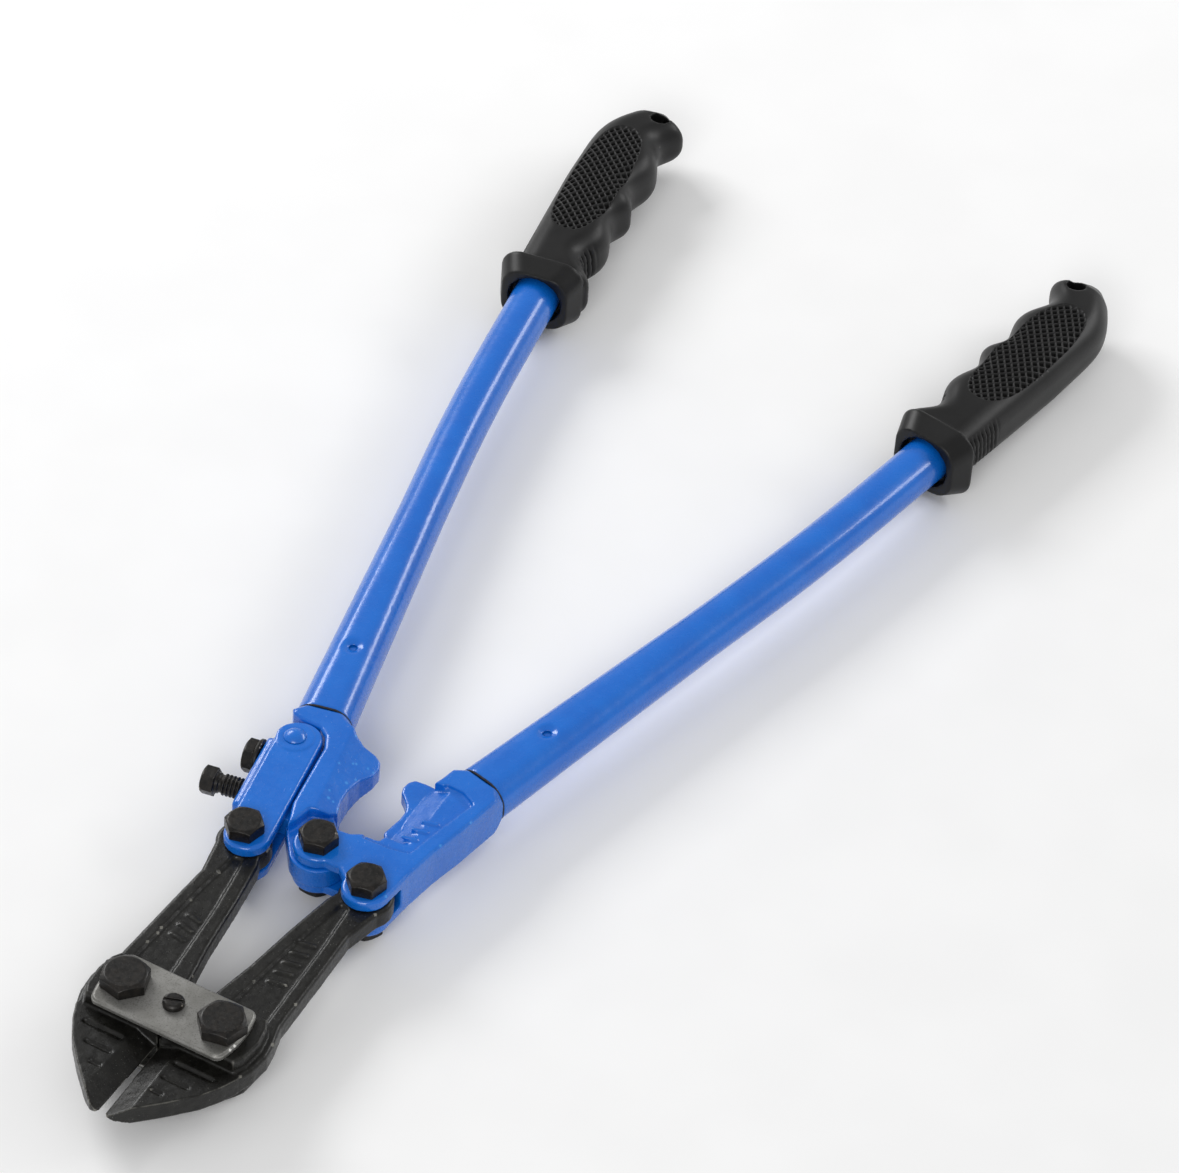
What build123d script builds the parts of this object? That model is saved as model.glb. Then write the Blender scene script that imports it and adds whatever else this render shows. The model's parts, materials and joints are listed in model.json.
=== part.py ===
"""Bolt cutters with centre-cut jaws, compound levers, an adjusting link and moulded grips.

Plan frame used below: origin on the centre pivot at mid-thickness, +X to the right handle,
+Y towards the grips, -Y towards the blades, +Z up out of the tool's flat side.
The row frame is the same, moved so that the origin is under the middle of the whole tool.
"""
from build123d import *
from math import atan2, cos, degrees, hypot, radians, sin, tan
import os

# ---- driving dimensions, mm -------------------------------------------------------------
# Pivots, right-hand side (the left side mirrors them)
JAW_PIVOT = (20.3, -98.4)       # jaw on the jaw plates
REAR_PIVOT = (26.0, -9.4)       # jaw on the handle head
LINK_PIVOT = (-35.3, 41.1)      # adjusting link on the left head
# Thickness stack, half values about the mid-plane
JAW_HALF = 4.3                  # jaw arms and the tongue of the left head
PAD_HALF = 9.9                  # jaw pads under the plates
BLADE_HALF = 4.1                # blades ahead of the pads
EAR = 4.7                       # each ear of a fork
SIDE_GAP = 0.20                 # free play beside a part that turns in a fork
PLATE_T = 2.6                   # jaw plate
PLATE_GAP = 0.10                # free play between a jaw pad and its plate
# Jaws
BLADE_TIP_Y = -144.4
PAD_FRONT_Y = -108.3
PAD_REAR_Y = -84.4
CLOSING_TURN = 1.26             # degrees that each jaw turns from rest to meet its partner
EDGE_GAP = 0.06                 # each cutting edge from the middle when fully closed
BEVEL_WIDTH = 8.5
ARM_REAR_R = 10.5
RECESS_DEPTH = 1.0
GROOVE_DEPTH = 0.8
# Jaw plates
PLATE_LENGTH = 58.0
PLATE_WIDTH = 26.5
PLATE_EDGE = 0.8
# Fasteners
RUN_GAP = 0.05                  # radial clearance of every running fit
REAR_BOLT_R = 4.5
REAR_HEAD_AF = 13.4
REAR_HEAD_H = 5.4
REAR_NUT_H = 4.4
JAW_BOLT_R = 5.5
JAW_HEAD_AF = 16.6
JAW_HEAD_H = 5.4
JAW_NUT_H = 4.6
CENTRE_SCREW_R = 3.0
CENTRE_HEAD_R = 4.1
CENTRE_HEAD_H = 2.6
RIVET_R = 3.5
RIVET_HEAD_R = 4.4
RIVET_HEAD_H = 2.2
ADJUST_R = 4.2
ADJUST_HEAD_AF = 10.0
ADJUST_FREE = 9.8               # thread that shows outside the link's web
LOCK_R = 3.2
LOCK_HEAD_AF = 12.0
WASHER_R = 7.4
WASHER_T = 2.0
WEB_PLAY = 0.30                 # washer clear of the web, for the link's small swing
# Open pivot of the linkage: the left jaw's rear hole is a slot across the tool
SLOT_REACH = 3.0                # each way, past the rear bolt
SLOT_SIDE = 0.6
# Handle heads
C_EAR_R = 9.5
B_EAR_R = 9.2
TONGUE_R = 10.8
SWING_GAP = 0.8                 # round the tongue and the jaw's rear end, inside the fork
HORN_HALF = 3.4
HORN_EDGE = 0.5
POCKET_FLOOR = 7.4
CAST_EDGE = 0.9
# Adjusting link, in its own frame: u from the rear bolt to the rivet, v outwards
LINK_IN = -10.4
LINK_OUT = 7.3
WEB_IN = 6.9
WEB_OUT = 10.2
WEB_HALF = 7.4
ADJUST_U = 27.0
LOCK_U = 44.6
TAB_OUT = 6.2                   # left head's tab inside the link
# Handle tubes
SEAM = (34.2, 60.2)             # tube centre where it meets the head
TUBE_TURN = 13.2                # degrees from the tool's axis, ahead of the bend
GRIP_TURN = 9.5                 # degrees past the bend
SEAM_W = 22.4
SEAM_H = 18.6
SEAM_CORNER = 8.2
TUBE_OD = 18.8
TUBE_CORNER = 9.2
WALL = 2.0
TAPER = 122.0
STRAIGHT = 150.0                # seam to the start of the bend
BEND_R = 1150.0
SPIGOT = 44.0
DIMPLE_S = 35.0
DIMPLE_R = 6.5
DIMPLE_DEPTH = 1.5
SPIGOT_FIT = 0.05
# Grips
GRIP_START = 258.0              # distance from the seam to the grip's front face, as the tube runs
GRIP_DEPTH = 99.0               # tube length inside the grip
GRIP_LENGTH = 128.0
GUARD_HALF = 17.5
GUARD_T = 15.6                  # half thickness of the guard
MOUTH_R = 11.2
MOUTH_DEPTH = 5.0
HANG_R = 4.0
HANG_S = 118.6
HANG_LAT = -11.6

FORK_IN = JAW_HALF + SIDE_GAP
FORK_HALF = FORK_IN + EAR
PLATE_TOP = PAD_HALF + PLATE_GAP + PLATE_T


# ---- helpers -----------------------------------------------------------------------------
def prism(face, low, high):
    """Straight block on a plan outline, from one height to another."""
    return extrude(Pos(0, 0, low) * face, high - low, dir=(0, 0, 1))


def outline(points, corner=0.0):
    """Closed plan outline through the points, with its corners rounded."""
    face = make_face(Polyline(*points, close=True))
    if corner:
        face = fillet(face.vertices(), corner)
    return face


def disc(centre, radius, low, high):
    return Pos(centre[0], centre[1], 0) * prism(Circle(radius), low, high)


def both_sides(shape):
    return shape + mirror(shape, about=Plane.XY)


def mirrored(shape):
    return mirror(shape, about=Plane.YZ)


def edges_at(shape, height):
    """Edges that lie in the two planes at plus and minus the height."""
    found = []
    for edge in shape.edges():
        box = edge.bounding_box()
        if abs(abs(box.min.Z) - height) < 1e-4 and abs(box.max.Z - box.min.Z) < 1e-4:
            found.append(edge)
    return found


def softened(shape, height, size):
    return chamfer(edges_at(shape, height), size)


def hexagon(af, height, turn=0.0):
    """Hex prism on z = 0 with its top corners turned off at a shallow cone."""
    corner = af / 3 ** 0.5 + 0.1
    flat = 0.445 * af
    low = height - 0.6 * (corner - flat)
    half = make_face(Polyline((0, 0), (corner, 0), (corner, low), (flat, height), (0, height), close=True))
    turned = revolve(Plane.XZ * half, Axis.Z)
    return Rotation(0, 0, turn) * extrude(RegularPolygon(af / 2, 6, major_radius=False), height) & turned


def hex_bolt(radius, af, head, top, bottom, turn=0.0):
    """Bolt along Z with its head standing on the top height and its end at the bottom height."""
    shank = chamfer(prism(Circle(radius), bottom, top).edges().group_by(Axis.Z)[0], 0.6)
    return shank + Pos(0, 0, top) * hexagon(af, head, turn)


def hex_nut(radius, af, height, top):
    """Nut hanging below the top height."""
    ring = mirror(hexagon(af, height), about=Plane.XY)
    return Pos(0, 0, top) * ring - prism(Circle(radius), top - height - 1, top + 1)


def along(centre, turn):
    """Frame with local Z along the tube direction and local X outwards, right side."""
    direction = Vector(sin(radians(turn)), cos(radians(turn)), 0)
    out = Vector(cos(radians(turn)), -sin(radians(turn)), 0)
    return Plane(origin=(centre[0], centre[1], 0), x_dir=out, z_dir=direction)


def rounded(plane, width, height, corner, shift=0.0):
    return plane * Pos(shift, 0, 0) * RectangleRounded(width, height, corner)


# ---- jaws --------------------------------------------------------------------------------
def edge_x(y):
    """Cutting edge from the middle line at rest, so that the edges meet when fully closed."""
    return EDGE_GAP + tan(radians(CLOSING_TURN)) * (JAW_PIVOT[1] - y)


def jaw_blank():
    bx, by = REAR_PIVOT
    arm = outline([(bx + 8.6, by - 6), (31.4, -30), (32.4, -50), (33.6, -80), (35.8, -88), (37.0, -95),
                   (36.2, -103), (34.2, -109), (20, -110),
                   (10, -101), (3.8, -86), (8.6, -60), (11.4, -38), (14.6, -18), (bx - 9.6, by - 4)])
    arm = prism(arm, -JAW_HALF, JAW_HALF) + disc(REAR_PIVOT, ARM_REAR_R, -JAW_HALF, JAW_HALF)
    arm = softened(arm, JAW_HALF, 1.0)
    pad = outline([(edge_x(PAD_FRONT_Y) + 0.2, PAD_FRONT_Y), (31.0, PAD_FRONT_Y), (33.2, -104), (33.9, -95),
                   (32.6, -88), (30.6, PAD_REAR_Y), (4.6, PAD_REAR_Y), (1.0, -97)])
    pad = softened(prism(pad, -PAD_HALF, PAD_HALF), PAD_HALF, 0.7)
    rear = PAD_FRONT_Y + 2
    blade = outline([(edge_x(PAD_FRONT_Y), rear), (edge_x(BLADE_TIP_Y), BLADE_TIP_Y), (2.4, -146.2),
                     (5.0, -145.4), (11.0, -140.0), (19.0, -132.0), (26.8, -123.2), (31.2, -116.0),
                     (34.0, -109.6), (33.6, rear)])
    return arm + pad + prism(blade, -BLADE_HALF, BLADE_HALF)


def blade_bevels():
    """Wedges that leave the cutting edge on the mid-plane."""
    section = make_face(Polyline((0, 0), (BEVEL_WIDTH, BLADE_HALF), (BEVEL_WIDTH, BLADE_HALF + 1),
                                 (-4, BLADE_HALF + 1), (-4, 0), close=True))
    start = PAD_FRONT_Y - 0.3
    direction = Vector(edge_x(BLADE_TIP_Y) - edge_x(start), BLADE_TIP_Y - start, 0).normalized()
    across = Vector(-direction.Y, direction.X, 0)
    plane = Plane(origin=(edge_x(start), start, 0), x_dir=across, z_dir=direction)
    wedge = extrude(plane * section, 50)
    if wedge.bounding_box().max.Z < BLADE_HALF:
        wedge = mirror(wedge, about=Plane.XY)
    return both_sides(wedge)


def blade_grooves():
    lines = [(-115.0, 10.6, 27.4), (-122.6, 10.4, 21.8), (-129.8, 10.2, 15.4)]
    cuts = None
    for y, x_in, x_out in lines:
        groove = Pos((x_in + x_out) / 2, y, 0) * SlotOverall(x_out - x_in, 1.9)
        groove = prism(groove, BLADE_HALF - GROOVE_DEPTH, BLADE_HALF + 1)
        cuts = groove if cuts is None else cuts + groove
    return both_sides(cuts)


def arm_recess():
    face = outline([(20.6, -18.0), (24.4, -18.4), (26.4, -40), (28.6, PAD_REAR_Y + 1.2),
                    (12.6, PAD_REAR_Y + 1.2), (16.4, -45)], 1.2)
    return both_sides(prism(face, JAW_HALF - RECESS_DEPTH, JAW_HALF + 1))


def arm_marks(count, low_y, pitch):
    """Short raised bars on the floor of the recess."""
    marks = None
    for i in range(count):
        y = low_y + pitch * i
        x = 20.8 - (y + 60) * 0.02
        bar = Pos(x, y, 0) * Rotation(0, 0, 12) * SlotOverall(6.5, 1.5)
        bar = prism(bar, JAW_HALF - RECESS_DEPTH - 0.4, JAW_HALF - RECESS_DEPTH + 0.6)
        marks = bar if marks is None else marks + bar
    return marks


def jaw(mark_count, rear_cut):
    solid = jaw_blank() - blade_bevels() - blade_grooves() - arm_recess()
    solid = solid - disc(JAW_PIVOT, JAW_BOLT_R + RUN_GAP, -PAD_HALF - 1, PAD_HALF + 1)
    solid = solid - disc((0, JAW_PIVOT[1]), CENTRE_SCREW_R + 2.4, -PAD_HALF - 1, PAD_HALF + 1)
    return solid - rear_cut + arm_marks(mark_count, -63, 5.4)


def right_jaw():
    return jaw(5, disc(REAR_PIVOT, REAR_BOLT_R + RUN_GAP, -JAW_HALF - 1, JAW_HALF + 1))


def left_jaw():
    width = 2 * (REAR_BOLT_R + SLOT_SIDE)
    slot = Pos(REAR_PIVOT[0], REAR_PIVOT[1], 0) * SlotOverall(2 * (REAR_BOLT_R + SLOT_REACH), width)
    return mirrored(jaw(3, prism(slot, -JAW_HALF - 1, JAW_HALF + 1)))


# ---- jaw plates and their fasteners ------------------------------------------------------
def jaw_plate():
    """Plate above the pads, with bowed ends."""
    half = PLATE_LENGTH / 2
    w = PLATE_WIDTH / 2
    y = JAW_PIVOT[1]
    bow = 2.4
    ring = [Line((-half + bow, y + w), (half - bow, y + w)),
            ThreePointArc((half - bow, y + w), (half, y), (half - bow, y - w)),
            Line((half - bow, y - w), (-half + bow, y - w)),
            ThreePointArc((-half + bow, y - w), (-half, y), (-half + bow, y + w))]
    face = make_face(Curve() + ring)
    face = fillet(face.vertices(), 3.6)
    plate = prism(face, PAD_HALF + PLATE_GAP, PLATE_TOP)
    top = plate.edges().group_by(Axis.Z)[-1]
    plate = chamfer(top, PLATE_EDGE)
    for side in (-1, 1):
        plate = plate - disc((side * JAW_PIVOT[0], y), JAW_BOLT_R, PAD_HALF, PLATE_TOP + 1)
    return plate


def top_plate():
    return jaw_plate() - disc((0, JAW_PIVOT[1]), CENTRE_SCREW_R, PAD_HALF, PLATE_TOP + 1)


def bottom_plate():
    return mirror(top_plate(), about=Plane.XY)


def jaw_bolt():
    return Pos(JAW_PIVOT[0], JAW_PIVOT[1], 0) * hex_bolt(JAW_BOLT_R, JAW_HEAD_AF, JAW_HEAD_H,
                                                         PLATE_TOP, -PLATE_TOP - JAW_NUT_H, 12)


def jaw_nut():
    return Pos(JAW_PIVOT[0], JAW_PIVOT[1], 0) * hex_nut(JAW_BOLT_R, JAW_HEAD_AF, JAW_NUT_H, -PLATE_TOP)


def centre_screw():
    """Round-headed slotted screw that ties the plates together between the jaws."""
    head = prism(Circle(CENTRE_HEAD_R), PLATE_TOP, PLATE_TOP + CENTRE_HEAD_H)
    head = chamfer(head.edges().group_by(Axis.Z)[-1], 0.9)
    slot = Pos(0, 0, PLATE_TOP + CENTRE_HEAD_H) * Rotation(0, 0, 20) * Box(3 * CENTRE_HEAD_R, 1.2, 2.4)
    screw = head - slot + prism(Circle(CENTRE_SCREW_R), -PLATE_TOP, PLATE_TOP)
    return Pos(0, JAW_PIVOT[1], 0) * screw


# ---- handle heads ------------------------------------------------------------------------
def tube_sizes(s, inset):
    """Width, height and corner of the tube's section at a distance past the seam."""
    share = min(max(s / TAPER, 0.0), 1.0)
    width = SEAM_W + (TUBE_OD - SEAM_W) * share
    height = SEAM_H + (TUBE_OD - SEAM_H) * share
    corner = SEAM_CORNER + (TUBE_CORNER - SEAM_CORNER) * share
    return width - 2 * inset, height - 2 * inset, corner - inset


def tube_point(s):
    """Point on the tube's centre line, ahead of the bend."""
    turn = radians(TUBE_TURN)
    return (SEAM[0] + s * sin(turn), SEAM[1] + s * cos(turn))


def tube_section(s, inset):
    return rounded(along(tube_point(s), TUBE_TURN), *tube_sizes(s, inset))


def spigot():
    """Tongue of a head that the tube is pressed over."""
    core = loft([tube_section(-1, WALL + SPIGOT_FIT), tube_section(SPIGOT, WALL + SPIGOT_FIT)])
    return core - dimple(SPIGOT_FIT)


def dimple(extra):
    """Punch mark that locks a tube on its spigot, from both sides."""
    x, y = tube_point(DIMPLE_S)
    top = tube_sizes(DIMPLE_S, 0)[1] / 2
    ball = Pos(x, y, top + DIMPLE_R - DIMPLE_DEPTH) * Sphere(DIMPLE_R + extra)
    return both_sides(ball)


def neck_envelope():
    """Outer form of a head where it narrows into the tube's section."""
    back = 15.0
    wide = rounded(along(tube_point(-back), TUBE_TURN), 62.0, 2 * FORK_HALF, 2.0)
    near = rounded(along(tube_point(-4.0), TUBE_TURN), SEAM_W + 4.0, 2 * FORK_HALF + 0.6, 5.5)
    seam = rounded(along(tube_point(0), TUBE_TURN), *tube_sizes(0, 0))
    return loft([wide, near], ruled=True) + loft([near, seam], ruled=True)


def behind_neck():
    """Half space from the neck envelope's wide end towards the jaws."""
    block = Box(260, 80, 260, align=(Align.CENTER, Align.CENTER, Align.MAX))
    return along(tube_point(-15.0), TUBE_TURN) * block


def seam_corners():
    x, y = SEAM
    c = SEAM_W / 2 * cos(radians(TUBE_TURN))
    d = SEAM_W / 2 * sin(radians(TUBE_TURN))
    return (x - c, y + d), (x + c, y - d)


def right_head():
    """Forked head: ears over the tongue of the left head and over the right jaw's rear end."""
    inner_seam, outer_seam = seam_corners()
    bx, by = REAR_PIVOT
    body = outline([(0, 9.3), (7.6, 10.2), (12.2, 13.2), (17.6, 13.8), (20.4, 26.0), (19.0, 32.0),
                    (18.8, 45.0), (21.0, 52.0), inner_seam, outer_seam, (43.6, 48), (41.2, 33.0),
                    (38.2, 18.8), (36.2, 4.2), (bx + B_EAR_R, by), (bx, by), (bx - B_EAR_R + 0.6, by - 1.0),
                    (12.6, -6.6), (6.4, -6.9), (0, 0)])
    body = prism(body, -FORK_HALF, FORK_HALF)
    body = body + disc((0, 0), C_EAR_R, -FORK_HALF, FORK_HALF)
    body = body + disc(REAR_PIVOT, B_EAR_R, -FORK_HALF, FORK_HALF)
    body = softened(body, FORK_HALF, CAST_EDGE)
    body = body & (neck_envelope() + behind_neck())
    horn = outline([(20.5, 14.6), (15.0, 21.6), (15.4, 25.6), (16.2, 30.4), (16.1, 35.0), (14.6, 38.4),
                    (12.0, 41.0), (9.8, 42.9), (8.9, 45.6), (9.4, 49.0), (11.0, 51.1), (15.1, 51.6),
                    (21.0, 51.5), (24.0, 40.0)], 0.7)
    slope = head_slope((27.6, 33.4), -2.0, 32.0, POCKET_FLOOR, 9.0, 17.0)
    horn = softened(prism(horn, -HORN_HALF, HORN_HALF), HORN_HALF, HORN_EDGE)
    solid = body - head_pocket() - slope + horn
    tongue_room = TONGUE_R + SWING_GAP
    jaw_room = ARM_REAR_R + SWING_GAP
    gap = outline([(-30, 0), (-9.5, 30), (-2, 11.0), (5.5, 10.2), (10.5, 4), (15.8, -3.5), (20, 0.5),
                   (26, 2.0), (33.5, 0), (48, -4), (48, -40), (-30, -40)])
    cut = prism(gap, -FORK_IN, FORK_IN)
    cut = cut + disc((0, 0), tongue_room, -FORK_IN, FORK_IN)
    cut = cut + disc(REAR_PIVOT, jaw_room, -FORK_IN, FORK_IN)
    solid = solid - cut + spigot() + head_marks()
    for centre in ((0, 0), REAR_PIVOT):
        solid = solid - disc(centre, REAR_BOLT_R, -FORK_HALF - 1, FORK_HALF + 1)
    return solid


def head_pocket():
    """Shallow pocket in both flat faces, open towards the stop horn."""
    rim = outline([(12, 10.5), (24.4, 11.4), (31.0, 13.0), (33.2, 25.6), (36.6, 41.4), (38.0, 47.0),
                   (32, 50.2), (24.5, 50.6), (22.9, 47.0), (22.8, 42.6), (8, 42.6)], 1.3)
    return both_sides(prism(rim, POCKET_FLOOR, FORK_HALF + 1))


def head_marks():
    """Three short raised bars on the pocket floor."""
    marks = None
    for i in range(3):
        bar = Pos(26.4 + 1.3 * i, 20.5 + 5.4 * i, 0) * Rotation(0, 0, 14) * SlotOverall(6.6, 1.6)
        bar = prism(bar, POCKET_FLOOR - 0.5, POCKET_FLOOR + 0.7)
        marks = bar if marks is None else marks + bar
    return marks


def link_plane():
    """Frame of the link: local X from the rear bolt to the rivet, local Y outwards."""
    x = LINK_PIVOT[0] + REAR_PIVOT[0]
    y = LINK_PIVOT[1] - REAR_PIVOT[1]
    return Plane(origin=(-REAR_PIVOT[0], REAR_PIVOT[1], 0), x_dir=Vector(x, y, 0), z_dir=(0, 0, 1))


LINK_LENGTH = hypot(LINK_PIVOT[0] + REAR_PIVOT[0], LINK_PIVOT[1] - REAR_PIVOT[1])


def left_head():
    """Head with the tongue on the centre pivot and the tab that carries the adjusting link."""
    inner_seam, outer_seam = seam_corners()
    swing = C_EAR_R + 0.5
    body = outline([(-14.4, 2.0), (-12.8, 6.0), (-11.6, 13.0), (-5.0, 15.8), (-3.0, 18.6), (-5.0, 24.2),
                    (-5.9, 31.0), (-5.3, 38.0), (-3.1, 44.2), (-3.0, 48.6), (-4.5, 51.8), (-7.2, 53.0),
                    (-12.2, 53.0), (-16.8, 55.2), (-20.6, 59.2), (-inner_seam[0], inner_seam[1]),
                    (-outer_seam[0], outer_seam[1]), (-44.4, 54.2), (-42.6, 51.8), (-39.2, 50.9),
                    (-30.0, 50.6), (-26.4, 48.0), (-23.6, 42.6), (-21.8, 31.5), (-18.6, 12.2)])
    body = prism(body, -FORK_HALF, FORK_HALF)
    body = softened(body, FORK_HALF, CAST_EDGE)
    neck = mirrored(neck_envelope() + behind_neck())
    body = (body & neck) - mirrored(head_slope((13.4, 28.6), 12.2, 90.0, FORK_HALF, 14.0, 30.0))
    body = body - both_sides(disc((0, 0), swing, FORK_IN - 0.2, FORK_HALF + 1))
    tongue = outline([(-9, -6), (0, 0), (4.2, 8.4), (-2.8, 16.6), (-16.0, 16.0), (-16.6, 4.0)], 0.5)
    tongue = prism(tongue, -JAW_HALF, JAW_HALF) + disc((0, 0), TONGUE_R, -JAW_HALF, JAW_HALF)
    solid = body + tongue + mirrored(spigot()) + link_tab()
    return solid - disc((0, 0), REAR_BOLT_R + RUN_GAP, -FORK_HALF, FORK_HALF)


def head_slope(centre, turn, length, height, run, reach):
    """Wedges above a face that falls from a height to the horn's, inwards from a line; right side."""
    section = make_face(Polyline((0, height), (-run, HORN_HALF), (-reach, HORN_HALF),
                                 (-reach, FORK_HALF + 2), (0, FORK_HALF + 2), close=True))
    direction = Vector(sin(radians(turn)), cos(radians(turn)), 0)
    out = Vector(cos(radians(turn)), -sin(radians(turn)), 0)
    plane = Plane(origin=(centre[0], centre[1], 0), x_dir=out, z_dir=-direction)
    return both_sides(extrude(plane * section, length / 2, both=True))


def link_tab():
    """Tab inside the link: boss for the rivet, seat for the adjusting screw, thread for the lock bolt."""
    plane = link_plane()
    width = TAB_OUT - LINK_IN + 4
    block = Pos(34.0, TAB_OUT - width / 2, 0) * Rectangle(38.0, width)
    block = fillet(block.vertices(), 1.5)
    tab = plane * prism(block + Pos(LINK_LENGTH, 0, 0) * Circle(TAB_OUT), -JAW_HALF, JAW_HALF)
    tab = tab - disc(LINK_PIVOT, RIVET_R, -JAW_HALF - 1, JAW_HALF + 1)
    return tab - cross_hole(LOCK_U, LOCK_R + RUN_GAP, 3.6, TAB_OUT + 1)


def cross_hole(u, radius, v_low, v_high):
    """Cylinder across the link at a distance from the rear bolt."""
    rod = Cylinder(radius, v_high - v_low, align=(Align.CENTER, Align.CENTER, Align.MIN))
    return link_plane() * Pos(u, v_low, 0) * Rotation(-90, 0, 0) * rod


def adjusting_link():
    """Clevis over the left head's tab and over the left jaw's rear end, closed by a web outside."""
    low = -9.3
    high = LINK_LENGTH + 9.0
    face = Pos((high + low) / 2, (LINK_IN + LINK_OUT) / 2, 0) * Rectangle(high - low, LINK_OUT - LINK_IN)
    face = fillet(face.vertices(), (LINK_OUT - LINK_IN) / 2 - 0.1)
    arm = softened(prism(face, -FORK_HALF, FORK_HALF), FORK_HALF, CAST_EDGE)
    web = Pos(31.5, (WEB_OUT + LINK_OUT - 3) / 2, 0) * Rectangle(38.0, WEB_OUT - LINK_OUT + 3)
    web = softened(prism(fillet(web.vertices(), 1.4), -WEB_HALF, WEB_HALF), WEB_HALF, 1.2)
    room = Pos(20, (WEB_IN - 40) / 2, 0) * Box(120, WEB_IN + 40, 2 * FORK_IN)
    ends = Pos(-20, 0, 0) * Box(60, 60, 2 * FORK_IN)
    ends = ends + Pos(LINK_LENGTH + 20, 0, 0) * Box(42, 60, 2 * FORK_IN)
    boss = Pos(LINK_LENGTH, 0, 0) * prism(Circle(7.2), FORK_HALF - 0.5, FORK_HALF + 0.5)
    solid = link_plane() * (arm + web - room - ends + both_sides(boss))
    solid = solid - disc(LINK_PIVOT, RIVET_R + RUN_GAP, -FORK_HALF - 2, FORK_HALF + 2)
    solid = solid - disc((-REAR_PIVOT[0], REAR_PIVOT[1]), REAR_BOLT_R, -FORK_HALF - 1, FORK_HALF + 1)
    solid = solid - cross_hole(ADJUST_U, ADJUST_R + RUN_GAP, WEB_IN - 2, WEB_OUT + 2)
    return solid - cross_hole(LOCK_U, LOCK_R + 0.7, WEB_IN - 2, WEB_OUT + 2)


def link_rivet():
    """Rivet with domed heads through the link and the left head's tab."""
    top = FORK_HALF + 0.5
    radius = (RIVET_HEAD_R ** 2 + RIVET_HEAD_H ** 2) / (2 * RIVET_HEAD_H)
    dome = Pos(0, 0, top + RIVET_HEAD_H - radius) * Sphere(radius)
    dome = dome & prism(Circle(RIVET_HEAD_R + 1), top, top + RIVET_HEAD_H + 1)
    rivet = both_sides(dome) + prism(Circle(RIVET_R), -top, top)
    return Pos(LINK_PIVOT[0], LINK_PIVOT[1], 0) * rivet


def adjusting_screw():
    """Hex-headed screw through the link's web, bearing on the left head's tab."""
    tip_gap = 0.6
    length = WEB_OUT + ADJUST_FREE - TAB_OUT - tip_gap
    screw = extrude(Circle(ADJUST_R - 0.7), length)
    pitch = 1.5
    for i in range(int(length / pitch)):
        ring = Pos(0, 0, 0.3 + pitch * i) * extrude(Circle(ADJUST_R), 0.75)
        screw = screw + ring
    head = Pos(0, 0, length) * (extrude(Circle(4.0), 1.4) + Pos(0, 0, 1.4) * hexagon(ADJUST_HEAD_AF, 5.4))
    return link_plane() * Pos(ADJUST_U, TAB_OUT + tip_gap, 0) * Rotation(-90, 0, 0) * (screw + head)


def lock_bolt():
    """Hex bolt through the link's web into the left head's tab."""
    seat = WEB_OUT + WEB_PLAY + WASHER_T
    reach = seat - 4.2
    bolt = extrude(Circle(LOCK_R), reach) + Pos(0, 0, reach) * hexagon(LOCK_HEAD_AF, 4.4)
    return link_plane() * Pos(LOCK_U, 4.2, 0) * Rotation(-90, 0, 0) * bolt


def lock_washer():
    ring = extrude(Circle(WASHER_R) - Circle(LOCK_R + 0.3), WASHER_T)
    ring = chamfer(ring.edges().filter_by(GeomType.CIRCLE).sort_by(SortBy.RADIUS)[-2:], 0.5)
    return link_plane() * Pos(LOCK_U, WEB_OUT + WEB_PLAY, 0) * Rotation(-90, 0, 0) * ring


def rear_bolt():
    return hex_bolt(REAR_BOLT_R, REAR_HEAD_AF, REAR_HEAD_H, FORK_HALF, -FORK_HALF - REAR_NUT_H, 16)


def rear_nut():
    return hex_nut(REAR_BOLT_R, REAR_HEAD_AF, REAR_NUT_H, -FORK_HALF)


# ---- tubes and grips ---------------------------------------------------------------------
def bend_frame():
    """Centre-line point and direction where the bend ends."""
    a = radians(TUBE_TURN)
    b = radians(GRIP_TURN)
    x, y = tube_point(STRAIGHT)
    return (x + BEND_R * (cos(b) - cos(a)), y + BEND_R * (sin(a) - sin(b)))


def bend_length():
    return BEND_R * radians(TUBE_TURN - GRIP_TURN)


def grip_point(s):
    """Point on the centre line past the bend, at a distance from the seam along the tube."""
    x, y = bend_frame()
    more = s - STRAIGHT - bend_length()
    return (x + more * sin(radians(GRIP_TURN)), y + more * cos(radians(GRIP_TURN)))


def tube_form(inset):
    """Solid form of the tube's outside, or of its bore with the wall as inset."""
    end = GRIP_START + GRIP_DEPTH
    ahead = loft([tube_section(0, inset), tube_section(TAPER, inset)])
    a = tube_point(STRAIGHT)
    run = tube_section(TAPER, inset)
    ahead_of_bend = Vector(sin(radians(TUBE_TURN)), cos(radians(TUBE_TURN)), 0)
    straight = extrude(run, STRAIGHT - TAPER, dir=ahead_of_bend)
    middle = radians((TUBE_TURN + GRIP_TURN) / 2)
    cx = a[0] - BEND_R * cos(radians(TUBE_TURN))
    cy = a[1] + BEND_R * sin(radians(TUBE_TURN))
    b = bend_frame()
    arc = ThreePointArc(a, (cx + BEND_R * cos(middle), cy - BEND_R * sin(middle)), b)
    bend = sweep(tube_section_at(a, TUBE_TURN, inset), path=arc)
    last = extrude(tube_section_at(b, GRIP_TURN, inset), end - STRAIGHT - bend_length(),
                   dir=Vector(sin(radians(GRIP_TURN)), cos(radians(GRIP_TURN)), 0))
    return ahead + straight + bend + last


def tube_section_at(point, turn, inset):
    return rounded(along(point, turn), *tube_sizes(TAPER, inset))


def handle_tube():
    return tube_form(0) - tube_form(WALL) - dimple(0)


def grip_section(s, inner, outer, half, corner):
    """Section of the grip at a distance from its front face, between two side offsets."""
    plane = along(grip_point(GRIP_START + s), GRIP_TURN)
    return rounded(plane, outer - inner, 2 * half, corner, (inner + outer) / 2)


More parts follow.
